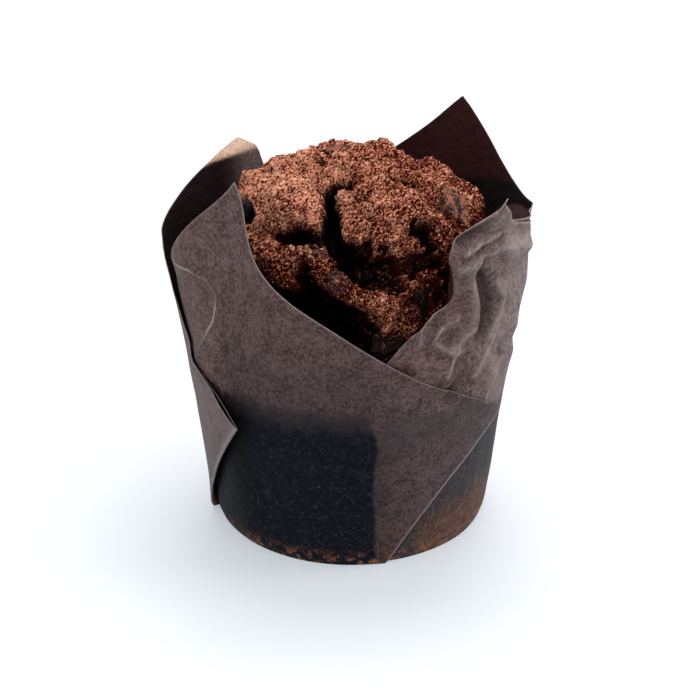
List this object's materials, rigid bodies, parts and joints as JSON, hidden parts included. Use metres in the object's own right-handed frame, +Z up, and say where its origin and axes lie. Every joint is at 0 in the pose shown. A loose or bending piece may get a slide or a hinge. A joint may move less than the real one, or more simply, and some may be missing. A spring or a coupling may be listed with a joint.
{
  "type": "chocolate muffin in paper case",
  "caption": "Chocolate muffin with a cracked cocoa-dusted crown and dark chocolate chunks, in a folded brown tulip paper case.",
  "frame": {"origin": "centre of the case's flat underside, on the surface it stands on", "axes": "+Z up, -Y towards the front, where the low edge of the front petal shows the crown"},
  "size_m": [0.0668, 0.0649, 0.0715],
  "materials": {
    "paper": "matt brown greaseproof baking paper",
    "cake": "rough cocoa-dusted sponge crust; matte plastic stands in for cake",
    "chocolate": "dark chocolate, partly bloomed and dusted; gloss plastic stands in for chocolate"
  },
  "bodies": {
    "root": {"tulip_case": "paper", "muffin": "cake", "chocolate_chunk_1": "chocolate", "chocolate_chunk_2": "chocolate", "chocolate_chunk_3": "chocolate", "chocolate_chunk_4": "chocolate", "chocolate_chunk_5": "chocolate", "chocolate_chunk_6": "chocolate"}
  },
  "joints": []
}
